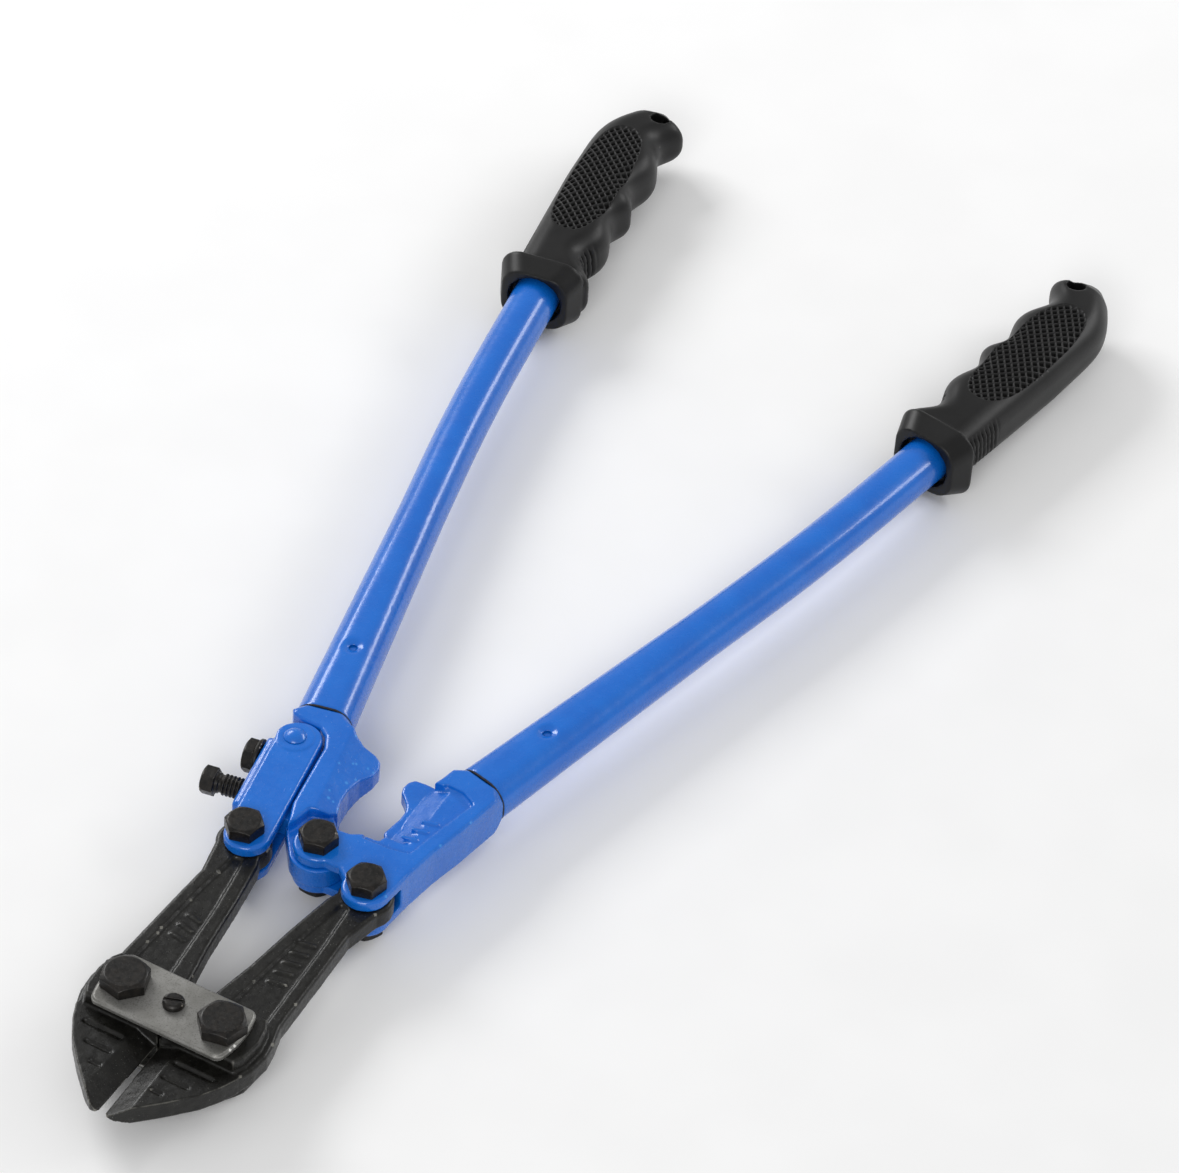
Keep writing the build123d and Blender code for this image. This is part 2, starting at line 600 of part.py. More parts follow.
def grip():
    """Moulded grip: flared guard, neck, four finger waves and a rounded heel with a hanging hole."""
    wide = GUARD_HALF - 0.3
    guard = loft([grip_section(0, -14.0, 14.0, 13.0, 8.8),
                  grip_section(9.0, -GUARD_HALF, GUARD_HALF, GUARD_T, 8.5)], ruled=True)
    band = loft([grip_section(9.0, -GUARD_HALF, GUARD_HALF, GUARD_T, 8.5),
                 grip_section(10.0, -wide, wide, GUARD_T - 0.3, 8.3)], ruled=True)
    back = loft([grip_section(10.0, -wide, wide, GUARD_T - 0.3, 8.3),
                 grip_section(12.6, -13.6, 13.0, 12.4, 8.5)], ruled=True)
    stations = [(8.0, -13.2, 12.7, 12.1, 8.9), (19.0, -14.6, 12.8, 12.4, 9.2),
                (28.5, -13.0, 12.9, 12.6, 9.4), (40.5, -17.1, 13.0, 12.7, 9.5),
                (53.0, -14.6, 13.1, 12.7, 9.5), (64.0, -18.6, 13.1, 12.7, 9.5),
                (76.5, -15.6, 13.1, 12.6, 9.6), (87.5, -19.6, 12.8, 12.5, 10.0),
                (102.5, -16.6, 12.0, 12.2, 10.4), (113.0, -19.6, 8.8, 11.6, 10.4),
                (121.5, -18.2, 3.2, 10.2, 9.2)]
    sections = [grip_section(*station) for station in stations]
    body = loft(sections)
    heel = loft([grip_section(121.5, -18.2, 3.2, 10.2, 9.2),
                 grip_section(GRIP_LENGTH, -13.4, -3.6, 5.0, 4.2)])
    solid = guard + band + back + body + heel
    axis = along(grip_point(GRIP_START), GRIP_TURN)
    bore = axis * Pos(0, 0, -1) * extrude(RectangleRounded(TUBE_OD, TUBE_OD, TUBE_CORNER), GRIP_DEPTH + 1)
    mouth = axis * Pos(0, 0, -1) * extrude(Circle(MOUTH_R), MOUTH_DEPTH + 1)
    return solid - bore - mouth - disc(hang_point(), HANG_R, -30, 30)


def hang_point():
    x, y = grip_point(GRIP_START + HANG_S)
    t = radians(GRIP_TURN)
    return (x + HANG_LAT * cos(t), y - HANG_LAT * sin(t))


# ---- assembly ----------------------------------------------------------------------------
def build():
    rear_right = Pos(REAR_PIVOT[0], REAR_PIVOT[1], 0)
    rear_left = Pos(-REAR_PIVOT[0], REAR_PIVOT[1], 0)
    return {
        "right_handle_head": right_head(),
        "right_tube": handle_tube(),
        "right_grip": grip(),
        "centre_pivot_bolt": rear_bolt(),
        "centre_pivot_nut": rear_nut(),
        "right_rear_bolt": rear_right * rear_bolt(),
        "right_rear_nut": rear_right * rear_nut(),
        "left_handle_head": left_head(),
        "left_tube": mirrored(handle_tube()),
        "left_grip": mirrored(grip()),
        "link_rivet": link_rivet(),
        "adjusting_link": adjusting_link(),
        "left_rear_bolt": rear_left * rear_bolt(),
        "left_rear_nut": rear_left * rear_nut(),
        "adjusting_screw": adjusting_screw(),
        "lock_bolt": lock_bolt(),
        "lock_washer": lock_washer(),
        "right_jaw": right_jaw(),
        "left_jaw": left_jaw(),
        "top_plate": top_plate(),
        "bottom_plate": bottom_plate(),
        "right_jaw_bolt": jaw_bolt(),
        "right_jaw_nut": jaw_nut(),
        "left_jaw_bolt": mirrored(jaw_bolt()),
        "left_jaw_nut": mirrored(jaw_nut()),
        "centre_screw": centre_screw(),
    }


def main():
    nodes = build()
    boxes = [shape.bounding_box() for shape in nodes.values()]
    middle_y = (min(b.min.Y for b in boxes) + max(b.max.Y for b in boxes)) / 2
    middle_x = (min(b.min.X for b in boxes) + max(b.max.X for b in boxes)) / 2
    lowest = min(b.min.Z for b in boxes)
    print("row frame: plan origin is at", round(-middle_x, 4), round(-middle_y, 4), round(-lowest, 4))
    os.makedirs("parts", exist_ok=True)
    for name, shape in nodes.items():
        solids = shape.solids()
        whole = solids[0] if len(solids) == 1 else Compound(children=list(solids))
        export_step(Pos(-middle_x, -middle_y, -lowest) * whole, f"parts/{name}.step")


main()
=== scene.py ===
"""Bolt cutters: cast blue heads, painted tubes, forged black jaws, steel plates and moulded grips."""

import json
import math

import bmesh
import bpy
import numpy as np
from mathutils import Matrix, Vector, noise


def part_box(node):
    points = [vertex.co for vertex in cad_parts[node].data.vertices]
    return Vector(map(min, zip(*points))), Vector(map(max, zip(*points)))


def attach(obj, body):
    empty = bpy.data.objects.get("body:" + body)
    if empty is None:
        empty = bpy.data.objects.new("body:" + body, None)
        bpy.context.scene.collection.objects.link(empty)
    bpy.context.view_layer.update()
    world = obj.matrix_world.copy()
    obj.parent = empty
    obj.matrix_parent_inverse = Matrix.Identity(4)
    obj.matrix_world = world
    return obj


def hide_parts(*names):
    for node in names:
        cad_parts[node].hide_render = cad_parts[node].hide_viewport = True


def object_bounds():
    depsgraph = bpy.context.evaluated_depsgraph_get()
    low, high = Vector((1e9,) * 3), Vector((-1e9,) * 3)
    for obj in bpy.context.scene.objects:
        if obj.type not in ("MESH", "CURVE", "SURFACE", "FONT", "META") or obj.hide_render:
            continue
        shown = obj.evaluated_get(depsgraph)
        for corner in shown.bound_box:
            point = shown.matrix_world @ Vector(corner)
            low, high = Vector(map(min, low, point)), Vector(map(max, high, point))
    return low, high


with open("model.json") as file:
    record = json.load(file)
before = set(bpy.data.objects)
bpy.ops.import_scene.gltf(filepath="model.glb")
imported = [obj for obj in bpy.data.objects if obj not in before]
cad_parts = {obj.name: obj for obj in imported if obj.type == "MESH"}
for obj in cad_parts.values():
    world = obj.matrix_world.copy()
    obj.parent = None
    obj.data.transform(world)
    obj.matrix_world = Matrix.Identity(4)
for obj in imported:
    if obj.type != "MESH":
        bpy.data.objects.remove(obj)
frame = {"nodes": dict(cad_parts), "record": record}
CAD_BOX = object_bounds()
MM = 0.001
NODES = frame["nodes"]
RECORD = frame["record"]
BODY_OF = {node: body for body, members in RECORD["behaviour"]["bodies"].items() for node in members}

# ---- sizes shared by the pieces, mm ------------------------------------------------------
GRIP_TURN = math.radians(9.5)      # grip axis from the tool's axis
TUBE_TURN = math.radians(13.2)     # tube axis where it leaves the head
HANG_ALONG = 118.6                 # hanging hole from the grip's front face, along the grip
HANG_IN = 11.6                     # hanging hole from the grip's axis, inwards
SEAM_X = 34.2                      # tube centre from the tool's axis at the seam
SEAM_W, SEAM_H = 22.4, 18.6
SEAM_LINE_R = 0.42                 # half width of the dark line at the seam
SEAM_LINE_CORNER = 8.0             # corner radius of its path


# ---- node materials ----------------------------------------------------------------------
class Finish:
    """A Principled material whose node tree is grown by small helpers."""

    def __init__(self, name):
        self.material = bpy.data.materials.new(name)
        self.material.use_nodes = True
        self.tree = self.material.node_tree
        self.tree.nodes.clear()
        out = self.node("ShaderNodeOutputMaterial")
        self.shader = self.node("ShaderNodeBsdfPrincipled")
        self.tree.links.new(self.shader.outputs["BSDF"], out.inputs["Surface"])
        self.coords = self.node("ShaderNodeTexCoord").outputs["Object"]

    def node(self, kind, **values):
        made = self.tree.nodes.new(kind)
        for key, value in values.items():
            setattr(made, key, value)
        return made

    def link(self, a, b):
        self.tree.links.new(a, b)

    def set(self, **values):
        for key, value in values.items():
            self.shader.inputs[key.replace("_", " ")].default_value = value

    def noise(self, size_mm, detail=3.0, rough=0.5, stretch=None, seed=0.0):
        """Noise whose blobs are about size_mm across."""
        mapping = self.node("ShaderNodeMapping")
        mapping.inputs["Scale"].default_value = stretch or (1, 1, 1)
        mapping.inputs["Location"].default_value = (seed, seed * 0.7, seed * 0.3)
        self.link(self.coords, mapping.inputs["Vector"])
        made = self.node("ShaderNodeTexNoise")
        made.inputs["Scale"].default_value = 1.0 / (size_mm * MM)
        made.inputs["Detail"].default_value = detail
        made.inputs["Roughness"].default_value = rough
        self.link(mapping.outputs["Vector"], made.inputs["Vector"])
        return made.outputs["Fac"]

    def ramp(self, source, low, high, value_low=0.0, value_high=1.0):
        """Smooth step of a value between two levels."""
        made = self.node("ShaderNodeMapRange", interpolation_type="SMOOTHSTEP")
        made.inputs["From Min"].default_value = low
        made.inputs["From Max"].default_value = high
        made.inputs["To Min"].default_value = value_low
        made.inputs["To Max"].default_value = value_high
        self.link(source, made.inputs["Value"])
        return made.outputs["Result"]

    def mix(self, factor, a, b):
        """Colour between a and b, each a colour or a socket."""
        made = self.node("ShaderNodeMix", data_type="RGBA")
        self.link(factor, made.inputs["Factor"])
        for socket, value in ((made.inputs[6], a), (made.inputs[7], b)):
            if isinstance(value, tuple):
                socket.default_value = (*value, 1.0)
            else:
                self.link(value, socket)
        return made.outputs[2]

    def math(self, operation, a, b):
        made = self.node("ShaderNodeMath", operation=operation)
        for socket, value in zip(made.inputs, (a, b)):
            if isinstance(value, (int, float)):
                socket.default_value = value
            else:
                self.link(value, socket)
        return made.outputs[0]

    def edges(self, low, high):
        """One along outer edges, nought elsewhere."""
        return self.ramp(self.node("ShaderNodeNewGeometry").outputs["Pointiness"], low, high)

    def colour(self, socket):
        self.link(socket, self.shader.inputs["Base Color"])

    def roughness(self, socket):
        self.link(socket, self.shader.inputs["Roughness"])

    def bumps(self, *layers):
        """Bump layers, each a height socket with its depth in mm and its strength."""
        normal = None
        for height, depth_mm, strength in layers:
            made = self.node("ShaderNodeBump")
            made.inputs["Distance"].default_value = depth_mm * MM
            made.inputs["Strength"].default_value = strength
            self.link(height, made.inputs["Height"])
            if normal is not None:
                self.link(normal, made.inputs["Normal"])
            normal = made.outputs["Normal"]
        self.link(normal, self.shader.inputs["Normal"])


def paint(name, cast):
    """Gloss blue enamel, over rough castings or over drawn tube."""
    f = Finish(name)
    deep, mid, pale = (0.002, 0.125, 0.56), (0.003, 0.145, 0.61), (0.012, 0.20, 0.70)
    tone = f.mix(f.ramp(f.noise(14.0, 2.0, seed=2.0), 0.25, 0.75), deep, mid)
    tone = f.mix(f.ramp(f.noise(1.6, 2.0, seed=5.0), 0.60, 0.78, 0.0, 0.30), tone, pale)
    if cast:
        # Painted highlight: lighter blue along the convex edges of the castings.
        tone = f.mix(f.edges(0.53, 0.62), tone, (0.04, 0.26, 0.72))
        # Painted shade: deeper blue in creases and hollows of the castings.
        tone = f.mix(f.edges(0.47, 0.40), tone, (0.003, 0.04, 0.26))
    f.colour(tone)
    f.roughness(f.ramp(f.noise(3.0, 3.0, seed=1.0), 0.3, 0.7, 0.22, 0.32 if cast else 0.30))
    f.set(Coat_Weight=0.35, Coat_Roughness=0.10, IOR=1.45)
    if cast:
        f.bumps((f.noise(6.0, 2.0, 0.5, seed=3.0), 0.16, 0.5), (f.noise(1.3, 2.0, 0.5, seed=4.0), 0.10, 0.6),
                (f.ramp(f.noise(1.7, 1.0, seed=9.0), 0.64, 0.72), 0.07, 0.6))
    else:
        f.bumps((f.noise(18.0, 2.0, 0.5, (1, 0.3, 1), seed=3.0), 0.08, 0.3),
                (f.noise(1.0, 2.0, seed=4.0), 0.012, 0.35))
    return f.material


def rubber(name):
    """Matte moulded rubber, with painted highlight on its high edges and painted shade in its creases and
    pits.
    """
    f = Finish(name)
    tone = f.mix(f.ramp(f.noise(16.0, 3.0), 0.3, 0.7), (0.0042, 0.0042, 0.0043), (0.0078, 0.0078, 0.008))
    tone = f.mix(f.ramp(f.noise(0.7, 2.0, seed=3.0), 0.55, 0.75, 0.0, 0.5), tone, (0.013, 0.013, 0.0132))
    # Painted highlight: lighter along the high edges.
    tone = f.mix(f.edges(0.54, 0.66), tone, (0.042, 0.042, 0.043))
    # Painted shade: darker in creases.
    tone = f.mix(f.edges(0.48, 0.42), tone, (0.0015, 0.0015, 0.0015))
    # Painted shade: near black in the lattice pits and rib grooves, read from the "pit" attribute.
    pit = f.node("ShaderNodeAttribute", attribute_name="pit").outputs["Fac"]
    tone = f.mix(pit, tone, (0.0006, 0.0006, 0.0006))
    f.colour(tone)
    f.roughness(f.ramp(pit, 0.0, 1.0, 0.42, 0.95))
    f.set(Specular_IOR_Level=0.32)
    f.bumps((f.noise(0.45, 2.0, 0.6, seed=1.0), 0.03, 0.5), (f.noise(6.0, 2.0, seed=2.0), 0.10, 0.3))
    return f.material


def forged(name):
    """Forged steel with black scale, specks of bare metal, and lighter edges that are partly rubbed steel and
    partly painted highlight.
    """
    f = Finish(name)
    tone = f.mix(f.ramp(f.noise(5.0, 4.0, 0.6), 0.35, 0.65),
                 (0.0035, 0.0033, 0.0027), (0.0085, 0.0082, 0.0068))
    specks = f.math("MULTIPLY", f.ramp(f.noise(0.55, 2.0, 0.5, seed=6.0), 0.66, 0.74),
                    f.ramp(f.noise(9.0, 3.0, seed=8.0), 0.42, 0.62))
    tone = f.mix(specks, tone, (0.13, 0.13, 0.12))
    # Lighter along the edges: partly rubbed steel, partly painted highlight.
    rubbed_and_highlight = f.math("MULTIPLY", f.edges(0.515, 0.58), f.ramp(f.noise(5.0, 3.0, seed=4.0), 0.30, 0.60))
    tone = f.mix(rubbed_and_highlight, tone, (0.17, 0.165, 0.145))
    f.colour(tone)
    f.roughness(f.ramp(f.noise(1.2, 4.0, 0.6, seed=2.0), 0.3, 0.7, 0.27, 0.42))
    f.set(Metallic=0.0, Specular_IOR_Level=0.34)
    f.bumps((f.noise(3.2, 3.0, 0.5, seed=3.0), 0.10, 0.5), (f.noise(0.7, 3.0, 0.6, seed=5.0), 0.10, 0.7))
    return f.material


def oxide(name):
    """Oiled black oxide on fasteners, warm brown where it has thinned."""
    f = Finish(name)
    tone = f.mix(f.ramp(f.noise(3.0, 4.0, 0.6), 0.38, 0.66), (0.004, 0.0036, 0.0032), (0.013, 0.0105, 0.0085))
    tone = f.mix(f.ramp(f.noise(0.5, 2.0, seed=2.0), 0.60, 0.74, 0.0, 0.5), tone, (0.06, 0.050, 0.042))
    # Painted highlight: lighter along the convex edges.
    tone = f.mix(f.edges(0.53, 0.62), tone, (0.22, 0.20, 0.17))
    f.colour(tone)
    f.roughness(f.ramp(f.noise(1.3, 3.0, seed=3.0), 0.3, 0.7, 0.30, 0.52))
    f.set(Metallic=0.25, Specular_IOR_Level=0.4)
    f.bumps((f.noise(1.4, 3.0, 0.6, seed=4.0), 0.07, 0.5), (f.noise(0.3, 2.0, seed=6.0), 0.02, 0.5))
    return f.material


def ground_steel(name):
    """Ground steel plate with faint grinding lines, mottled stains and a painted highlight along its edges.
    """
    f = Finish(name)
    tone = f.mix(f.ramp(f.noise(11.0, 3.0, 0.5), 0.3, 0.7), (0.17, 0.168, 0.155), (0.25, 0.247, 0.235))
    tone = f.mix(f.ramp(f.noise(0.6, 4.0, 0.65, seed=3.0), 0.50, 0.70, 0.0, 0.7), tone, (0.09, 0.087, 0.078))
    # Painted highlight: near white along the edges.
    tone = f.mix(f.edges(0.515, 0.56), tone, (0.80, 0.79, 0.76))
    f.colour(tone)
    f.roughness(f.ramp(f.noise(1.2, 4.0, 0.6, seed=5.0), 0.3, 0.7, 0.36, 0.50))
    f.set(Metallic=0.6, Anisotropic=0.3)
    f.bumps((f.noise(0.5, 2.0, 0.5, (0.08, 1.6, 1), seed=1.0), 0.02, 0.5),
            (f.noise(0.7, 3.0, seed=2.0), 0.03, 0.5))
    return f.material


def dark_gap(name):
    """Shadowed line of old paint and dirt in a joint."""
    f = Finish(name)
    f.colour(f.mix(f.ramp(f.noise(1.5, 3.0), 0.35, 0.7), (0.004, 0.004, 0.005), (0.012, 0.013, 0.02)))
    f.roughness(f.ramp(f.noise(0.8, 2.0), 0.3, 0.7, 0.5, 0.8))
    return f.material


SLOTS = {
    "head_paint": paint("head_paint_look", True),
    "tube_paint": paint("tube_paint_look", False),
    "grip_rubber": rubber("grip_rubber_look"),
    "forged_jaw": forged("forged_jaw_look"),
    "black_oxide": oxide("black_oxide_look"),
    "plate_steel": ground_steel("plate_steel_look"),
}
GAP = dark_gap("joint_gap_look")
SLOT_OF = {s["node"]: s["material_slot"] for s in RECORD["subparts"]}


# ---- meshes ------------------------------------------------------------------------------
def evaluated_mesh(obj):
    graph = bpy.context.evaluated_depsgraph_get()
    return bpy.data.meshes.new_from_object(obj.evaluated_get(graph))


def copy_of(node, name):
    """New object with the node's mesh, its split corners welded."""
    mesh = NODES[node].data.copy()
    mesh.materials.clear()
    bm = bmesh.new()
    bm.from_mesh(mesh)
    bmesh.ops.remove_doubles(bm, verts=bm.verts, dist=1e-6)
    bm.to_mesh(mesh)
    bm.free()
    obj = bpy.data.objects.new(name, mesh)
    bpy.context.scene.collection.objects.link(obj)
    return obj


def apply_modifiers(obj):
    mesh = evaluated_mesh(obj)
    obj.modifiers.clear()
    obj.data = mesh


def set_smooth(mesh):
    for attribute in ("custom_normal", "sharp_edge", "sharp_face"):
        if attribute in mesh.attributes:
            mesh.attributes.remove(mesh.attributes[attribute])
    mesh.polygons.foreach_set("use_smooth", np.ones(len(mesh.polygons), bool))
    mesh.update()


def positions(mesh):
    co = np.zeros(len(mesh.vertices) * 3)
    mesh.vertices.foreach_get("co", co)
    return co.reshape(-1, 3)


def normals(mesh):
    no = np.zeros(len(mesh.vertices) * 3)
    mesh.vertices.foreach_get("normal", no)
    return no.reshape(-1, 3)


def write_positions(mesh, co):
    mesh.vertices.foreach_set("co", np.ascontiguousarray(co, dtype=np.float32).ravel())
    mesh.update()


def roughen(mesh, depth_mm, size_mm, seed):
    """Hammered or cast unevenness, only ever inwards."""
    co = positions(mesh)
    shift = Vector((seed, seed * 2.0, seed * 3.0))
    amount = np.array([noise.noise(Vector(p) / (size_mm * MM) + shift) for p in co])
    amount = np.clip(0.5 * amount - 0.5, -1.0, 0.0)
    write_positions(mesh, co + normals(mesh) * (amount * depth_mm * MM)[:, None])


def keep_inside(mesh, node):
    low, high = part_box(node)
    write_positions(mesh, np.clip(positions(mesh), np.array(low), np.array(high)))


def refined(node, voxel_mm, smoothing, depth_mm=0.0, size_mm=5.0, seed=1.0):
    """Softer, denser copy of a CAD node, with rounded edges and an uneven surface."""
    obj = copy_of(node, node + "_finished")
    remesh = obj.modifiers.new("remesh", "REMESH")
    remesh.mode = "VOXEL"
    remesh.voxel_size = voxel_mm * MM
    smooth = obj.modifiers.new("smooth", "SMOOTH")
    smooth.factor = 0.5
    smooth.iterations = smoothing
    apply_modifiers(obj)
    if depth_mm:
        roughen(obj.data, depth_mm, size_mm, seed)
    return obj


def place(obj, node):
    """Finish a refined piece: smooth shading, material, body and the node it stands for."""
    set_smooth(obj.data)
    keep_inside(obj.data, node)
    obj.data.materials.clear()
    obj.data.materials.append(SLOTS[SLOT_OF[node]])
    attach(obj, BODY_OF[node])
    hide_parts(node)
    return obj


# ---- grips -------------------------------------------------------------------------------
LATTICE_MID, LATTICE_HALF_LENGTH, LATTICE_HALF_WIDTH = 70.0, 36.0, 11.2
LATTICE_PITCH, LATTICE_RIDGE, LATTICE_DEPTH = 2.7, 0.22, 1.5
LATTICE_ANGLE = 0.86               # of each family of ridges, from across the grip
RIB_START, RIB_END, RIB_PITCH, RIB_DEPTH = 12.5, 34.0, 2.5, 0.9


def grip_axes(side):
    """Origin at the middle of the grip's front face, with unit vectors along it and outwards."""
    name = "right_hanging_hole" if side > 0 else "left_hanging_hole"
    hole = next(np.array(m["pos_m"]) for m in RECORD["mounts"] if m["name"] == name)
    along = np.array([side * math.sin(GRIP_TURN), math.cos(GRIP_TURN), 0.0])
    out = np.array([side * math.cos(GRIP_TURN), -math.sin(GRIP_TURN), 0.0])
    return hole - along * HANG_ALONG * MM + out * HANG_IN * MM, along, out


def grip_coordinates(points, side):
    """Distance along the grip, outwards offset and height above its middle, all in mm."""
    origin, along, out = grip_axes(side)
    rel = (points - origin) / MM
    return rel @ along, rel @ out, rel[:, 2]


def in_lattice(s, lateral):
    """Nought on the rim of the oval lattice panel, one at its middle, negative outside."""
    lean = lateral + 1.2 + 0.03 * (s - LATTICE_MID)
    u = np.abs((s - LATTICE_MID) / LATTICE_HALF_LENGTH)
    v = np.abs(lean / LATTICE_HALF_WIDTH)
    return 1.0 - (u ** 2.8 + v ** 2.8) ** (1 / 2.8)


def subdivide_panel(obj, side):
    """Finer faces where the lattice goes."""
    bm = bmesh.new()
    bm.from_mesh(obj.data)
    centres = np.array([f.calc_center_median() for f in bm.faces])
    facing = np.array([abs(f.normal.z) for f in bm.faces])
    s, lateral, _ = grip_coordinates(centres, side)
    chosen = (in_lattice(s, lateral) > -0.04) & (facing > 0.45)
    edges = {e for f, keep in zip(bm.faces, chosen) if keep for e in f.edges}
    bmesh.ops.subdivide_edges(bm, edges=list(edges), cuts=1, use_grid_fill=True)
    bm.to_mesh(obj.data)
    bm.free()


def grip_detail(obj, side):
    """Press the lattice panels into both flat faces and the ribs into both sides of the neck."""
    mesh = obj.data
    co = positions(mesh)
    no = normals(mesh)
    s, lateral, height = grip_coordinates(co, side)
    _, _, out = grip_axes(side)
    inside = in_lattice(s, lateral)
    floor = np.clip(inside / 0.05, 0.0, 1.0)
    a = (s * math.cos(LATTICE_ANGLE) + lateral * math.sin(LATTICE_ANGLE)) / LATTICE_PITCH
    b = (s * math.cos(LATTICE_ANGLE) - lateral * math.sin(LATTICE_ANGLE)) / LATTICE_PITCH
    line = np.minimum(np.abs(a - np.round(a)), np.abs(b - np.round(b))) * LATTICE_PITCH
    pit = np.clip((line - LATTICE_RIDGE) / 0.40, 0.0, 1.0)
    level = np.where(no[:, 2] * height > 0, np.clip((np.abs(no[:, 2]) - 0.35) / 0.3, 0.0, 1.0), 0.0)
    sink = floor * level * (0.25 + 0.75 * pit) * LATTICE_DEPTH
    co[:, 2] -= np.sign(height) * sink * MM
    sideways = np.clip((np.abs(no @ out) - 0.45) / 0.25, 0.0, 1.0) * (np.abs(lateral) > 10.5)
    band = np.clip((s - RIB_START) / 1.5, 0, 1) * np.clip((RIB_END - s) / 3.0, 0, 1)
    band = band * np.clip((9.0 - np.abs(height)) / 2.0, 0, 1)
    wave = 0.5 - 0.5 * np.cos(2 * math.pi * (s - RIB_START + 0.12 * height) / RIB_PITCH)
    groove = np.clip((wave - 0.45) / 0.4, 0, 1)
    # Painted shade: how dark the rubber is painted in the lattice pits and rib grooves, kept in the "pit"
    # attribute.
    painted_pit_shade = np.maximum(floor * level * pit, 0.8 * sideways * band * groove)
    layer = mesh.attributes.new("pit", "FLOAT", "POINT")
    layer.data.foreach_set("value", painted_pit_shade.astype(np.float32))
    co -= no * (sideways * band * groove * RIB_DEPTH * MM)[:, None]
    write_positions(mesh, co)


def build_grip(node, side):
    obj = refined(node, 0.6, 3, 0.03, 6.0)
    subdivide_panel(obj, side)
    grip_detail(obj, side)
    return place(obj, node)


# ---- seam between tube and head ----------------------------------------------------------
def rounded_loop(width, height, corner, steps):
    """Points of a rounded rectangle, counter-clockwise."""
    points = []
    for i, (sx, sy) in enumerate(((1, 1), (-1, 1), (-1, -1), (1, -1))):
        for k in range(steps + 1):
            t = math.radians(90 * i + 90 * k / steps)
            points.append((sx * (width / 2 - corner) + corner * math.cos(t),
                           sy * (height / 2 - corner) + corner * math.sin(t)))
    return points


def seam_line(side):
    """Dark line of the joint where a tube meets its head."""
    node = "right_handle_head" if side > 0 else "left_handle_head"
    low_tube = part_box("right_tube" if side > 0 else "left_tube")[0]
    half = SEAM_W / 2 * MM
    y = low_tube.y + half * math.sin(TUBE_TURN)
    x = side * SEAM_X * MM
    z = (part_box(node)[0].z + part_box(node)[1].z) / 2
    curve = bpy.data.curves.new(node + "_seam", "CURVE")
    curve.dimensions = "3D"
    curve.bevel_depth = SEAM_LINE_R * MM
    curve.bevel_resolution = 2
    loop = rounded_loop(SEAM_W - SEAM_LINE_R, SEAM_H - SEAM_LINE_R, SEAM_LINE_CORNER, 10)
    spline = curve.splines.new("POLY")
    spline.points.add(len(loop) - 1)
    spline.use_cyclic_u = True
    for point, (across, up) in zip(spline.points, loop):
        point.co = (x + side * across * MM * math.cos(TUBE_TURN), y - across * MM * math.sin(TUBE_TURN),
                    z + up * MM, 1)
    source = bpy.data.objects.new(node + "_seam_path", curve)
    bpy.context.scene.collection.objects.link(source)
    obj = bpy.data.objects.new(node + "_seam", evaluated_mesh(source))
    bpy.data.objects.remove(source)
    bpy.context.scene.collection.objects.link(obj)
    set_smooth(obj.data)
    obj.data.materials.clear()
    obj.data.materials.append(GAP)
    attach(obj, BODY_OF[node])


# ---- pieces ------------------------------------------------------------------------------
for head_node, seed in (("right_handle_head", 3.0), ("left_handle_head", 5.0), ("adjusting_link", 8.0)):
    place(refined(head_node, 0.45, 4, 0.10, 3.5, seed), head_node)
for jaw_node, seed in (("right_jaw", 11.0), ("left_jaw", 14.0)):
    place(refined(jaw_node, 0.45, 2, 0.14, 2.6, seed), jaw_node)
for tube_node in ("right_tube", "left_tube"):
    place(refined(tube_node, 0.7, 4), tube_node)
for plate_node in ("top_plate", "bottom_plate"):
    place(refined(plate_node, 0.35, 2, 0.03, 3.0, 2.0), plate_node)
for oxide_node in sorted(n for n, slot in SLOT_OF.items() if slot == "black_oxide"):
    place(refined(oxide_node, 0.25, 2, 0.04, 1.8, 6.0), oxide_node)
place(refined("link_rivet", 0.25, 2, 0.03, 2.0, 7.0), "link_rivet")
build_grip("right_grip", 1)
build_grip("left_grip", -1)
seam_line(1)
seam_line(-1)


# ---- floor, light and camera -------------------------------------------------------------
def floor_look():
    f = Finish("floor_look")
    f.colour(f.mix(f.ramp(f.noise(60.0, 2.0), 0.3, 0.7), (0.88, 0.88, 0.88), (0.90, 0.90, 0.90)))
    f.set(Roughness=0.9, Specular_IOR_Level=0.1)
    return f.material


def floor():
    mesh = bpy.data.meshes.new("floor")
    size = 6.0
    corners = [(-size, -size, 0), (size, -size, 0), (size, size, 0), (-size, size, 0)]
    mesh.from_pydata(corners, [], [(0, 1, 2, 3)])
    obj = bpy.data.objects.new("floor", mesh)
    obj.location.z = CAD_BOX[0].z - 0.0005
    obj.data.materials.append(floor_look())
    bpy.context.scene.collection.objects.link(obj)


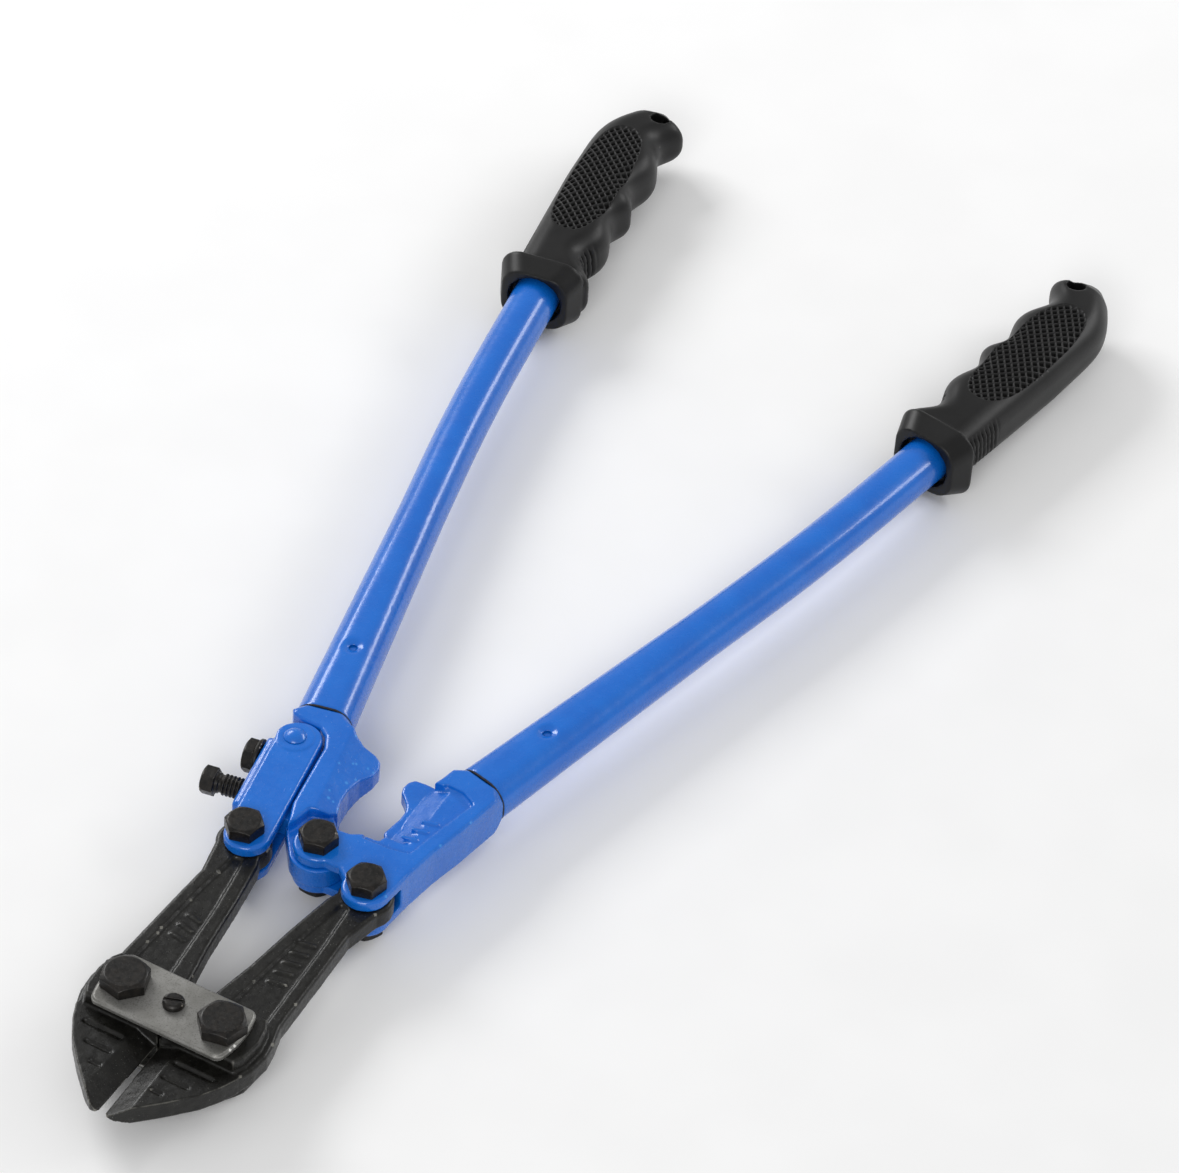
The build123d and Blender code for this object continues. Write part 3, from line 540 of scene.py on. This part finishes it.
def softbox(name, place_at, aim, size, power):
    light = bpy.data.lights.new(name, "AREA")
    light.shape = "RECTANGLE"
    light.size, light.size_y = size
    light.energy = power
    obj = bpy.data.objects.new(name, light)
    obj.location = place_at
    obj.rotation_euler = (Vector(aim) - Vector(place_at)).to_track_quat("-Z", "Y").to_euler()
    bpy.context.scene.collection.objects.link(obj)


def studio():
    world = bpy.data.worlds.new("studio")
    world.use_nodes = True
    background = world.node_tree.nodes["Background"]
    background.inputs["Color"].default_value = (1.0, 1.0, 1.0, 1.0)
    background.inputs["Strength"].default_value = 0.47
    bpy.context.scene.world = world
    bpy.context.scene.view_settings.view_transform = "Standard"
    softbox("key", (-1.4, 0.5, 1.0), (0, 0, 0), (1.0, 0.6), 17)
    softbox("front", (0.4, -1.5, 1.1), (0, -0.1, 0), (0.9, 0.6), 12)
    softbox("rim", (0.9, 1.3, 0.8), (0, 0, 0), (1.2, 0.3), 9)


CAMERA_AIM = Vector((9.9, 25.4, 17.2)) * MM
CAMERA_DISTANCE = 2.2918
CAMERA_AZIMUTH = math.radians(26.71)
CAMERA_ELEVATION = math.radians(43.71)
CAMERA_ROLL = math.radians(4.23)


def camera():
    cos_e = math.cos(CAMERA_ELEVATION)
    back = Vector((math.sin(CAMERA_AZIMUTH) * cos_e, -math.cos(CAMERA_AZIMUTH) * cos_e,
                   math.sin(CAMERA_ELEVATION)))
    level = Vector((0, 0, 1)).cross(back).normalized()
    upright = back.cross(level)
    right = level * math.cos(CAMERA_ROLL) + upright * math.sin(CAMERA_ROLL)
    up = back.cross(right)
    data = bpy.data.cameras.new("camera")
    data.sensor_width = 36.0
    data.lens = 182.37
    data.shift_x = 0.0126
    data.shift_y = 0.0063
    data.clip_end = 20
    obj = bpy.data.objects.new("camera", data)
    turn = Matrix((right, up, back)).transposed().to_4x4()
    obj.matrix_world = Matrix.Translation(CAMERA_AIM + back * CAMERA_DISTANCE) @ turn
    bpy.context.scene.collection.objects.link(obj)
    bpy.context.scene.camera = obj


floor()
studio()
camera()
bpy.context.view_layer.update()
